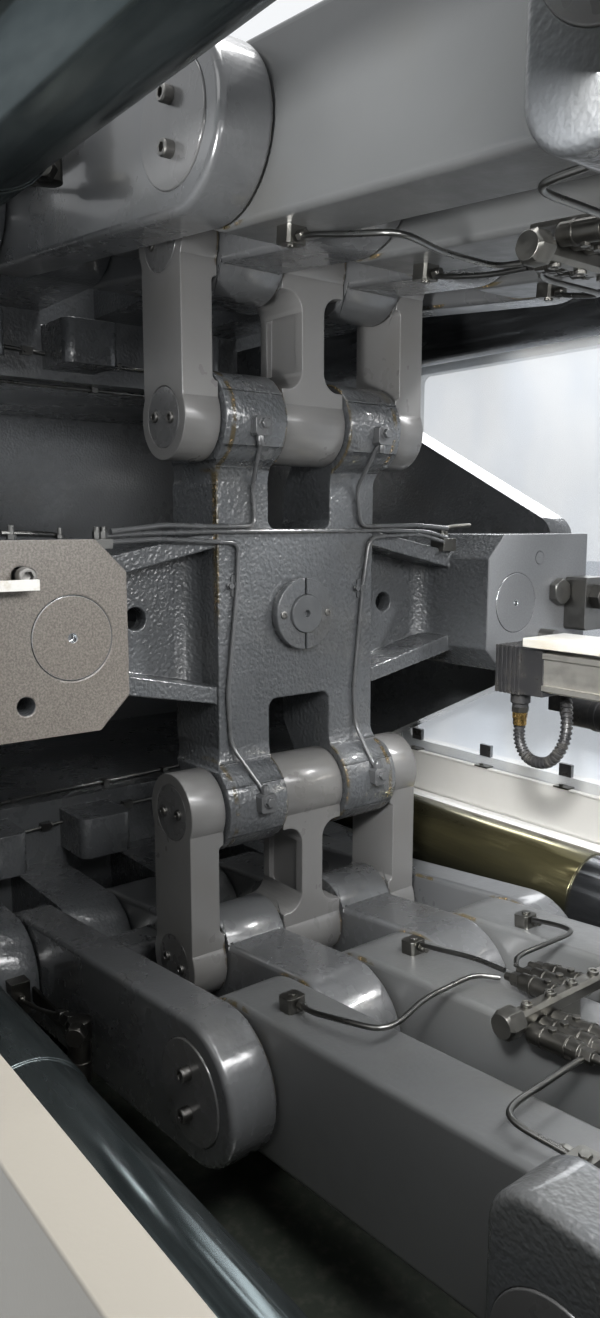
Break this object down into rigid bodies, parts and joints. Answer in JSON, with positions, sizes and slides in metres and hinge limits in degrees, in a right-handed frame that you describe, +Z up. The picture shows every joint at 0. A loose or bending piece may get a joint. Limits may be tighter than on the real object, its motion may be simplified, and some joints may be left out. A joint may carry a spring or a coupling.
{
  "type": "injection moulding machine toggle clamp unit",
  "caption": "Hydraulic double-toggle clamp unit of an injection moulding machine, locked up, with platens, tie bars, crosshead and arms on a welded bed.",
  "frame": {"origin": "on the floor under the middle of the footprint", "axes": "+X from the clamp cylinder to the stationary platen, +Y away from the operator, +Z up"},
  "size_m": [4.5, 1.5, 1.98],
  "materials": {
    "casting_paint": "satin",
    "tie_bar_steel": "gloss",
    "ground_steel": "satin",
    "guard_paint": "satin",
    "bed_paint": "satin",
    "bare_aluminium": "satin",
    "dark_steel": "satin",
    "clear_pane": "gloss"
  },
  "bodies": {
    "machine_frame": {"bed_near": "bed_paint", "bed_far": "bed_paint", "bed_cross_members": "bed_paint", "drip_plate": "bed_paint", "tail_platen_rear_wall": "casting_paint", "tail_platen_lower_beam": "casting_paint", "tail_platen_upper_beam": "casting_paint", "tail_platen_side_near": "casting_paint", "tail_platen_side_far": "casting_paint", "moving_platen": "casting_paint", "moving_platen_lugs_lower": "casting_paint", "moving_platen_lugs_upper": "casting_paint", "stationary_platen": "casting_paint", "tie_bars": "tie_bar_steel", "tie_bar_nuts": "dark_steel", "guide_rods": "ground_steel", "clamp_cylinder": "casting_paint", "tail_pins": "ground_steel", "tail_pin_covers": "casting_paint", "platen_pins": "ground_steel", "platen_pin_covers": "casting_paint", "position_transducer": "bare_aluminium", "guard_near": "guard_paint", "guard_far": "guard_paint", "guard_pane_far": "clear_pane"},
    "crosshead_unit": {"crosshead": "casting_paint", "piston_rod": "ground_steel", "rod_collar": "casting_paint", "crosshead_pins": "ground_steel"},
    "small_unit_lower": {"small_links_lower": "casting_paint", "mid_pin_lower": "ground_steel", "small_pin_covers_lower": "casting_paint"},
    "rear_unit_lower": {"rear_link_lower": "casting_paint", "knee_pin_lower": "ground_steel", "knee_pin_covers_lower": "casting_paint"},
    "front_unit_lower": {"front_arm_lower_near": "casting_paint", "front_arm_lower_middle": "casting_paint", "front_arm_lower_far": "casting_paint"},
    "small_unit_upper": {"small_links_upper": "casting_paint", "mid_pin_upper": "ground_steel", "small_pin_covers_upper": "casting_paint"},
    "rear_unit_upper": {"rear_link_upper": "casting_paint", "knee_pin_upper": "ground_steel", "knee_pin_covers_upper": "casting_paint"},
    "front_unit_upper": {"front_arm_upper_near": "casting_paint", "front_arm_upper_middle": "casting_paint", "front_arm_upper_far": "casting_paint"}
  },
  "joints": [
    {"name": "crosshead_slide", "type": "slide", "parent": "machine_frame", "child": "crosshead_unit", "axis": [-1, 0, 0], "range_m": [0, 0.06]},
    {"name": "small_links_lower_turn", "type": "hinge", "parent": "crosshead_unit", "child": "small_unit_lower", "pos_m": [0.02, 0, 1.029], "axis": [0, -1, 0], "range_deg": [0, 15.1]},
    {"name": "rear_link_lower_turn", "type": "hinge", "parent": "machine_frame", "child": "rear_unit_lower", "pos_m": [-0.29, 0, 0.715], "axis": [0, -1, 0], "range_deg": [0, 1.42]},
    {"name": "front_link_lower_turn", "type": "hinge", "parent": "rear_unit_lower", "child": "front_unit_lower", "pos_m": [0.242, 0, 0.762], "axis": [0, 1, 0], "range_deg": [0, 2.83]},
    {"name": "small_links_upper_turn", "type": "hinge", "parent": "crosshead_unit", "child": "small_unit_upper", "pos_m": [0.02, 0, 1.571], "axis": [0, 1, 0], "range_deg": [0, 15.1]},
    {"name": "rear_link_upper_turn", "type": "hinge", "parent": "machine_frame", "child": "rear_unit_upper", "pos_m": [-0.29, 0, 1.885], "axis": [0, 1, 0], "range_deg": [0, 1.42]},
    {"name": "front_link_upper_turn", "type": "hinge", "parent": "rear_unit_upper", "child": "front_unit_upper", "pos_m": [0.242, 0, 1.838], "axis": [0, -1, 0], "range_deg": [0, 2.83]}
  ],
  "couplings": [
    {"joint": "small_links_lower_turn", "follows": "crosshead_slide", "rad_per_m": 4.367},
    {"joint": "rear_link_lower_turn", "follows": "crosshead_slide", "rad_per_m": 0.4092},
    {"joint": "front_link_lower_turn", "follows": "crosshead_slide", "rad_per_m": 0.8184},
    {"joint": "small_links_upper_turn", "follows": "crosshead_slide", "rad_per_m": 4.367},
    {"joint": "rear_link_upper_turn", "follows": "crosshead_slide", "rad_per_m": 0.4092},
    {"joint": "front_link_upper_turn", "follows": "crosshead_slide", "rad_per_m": 0.8184}
  ]
}
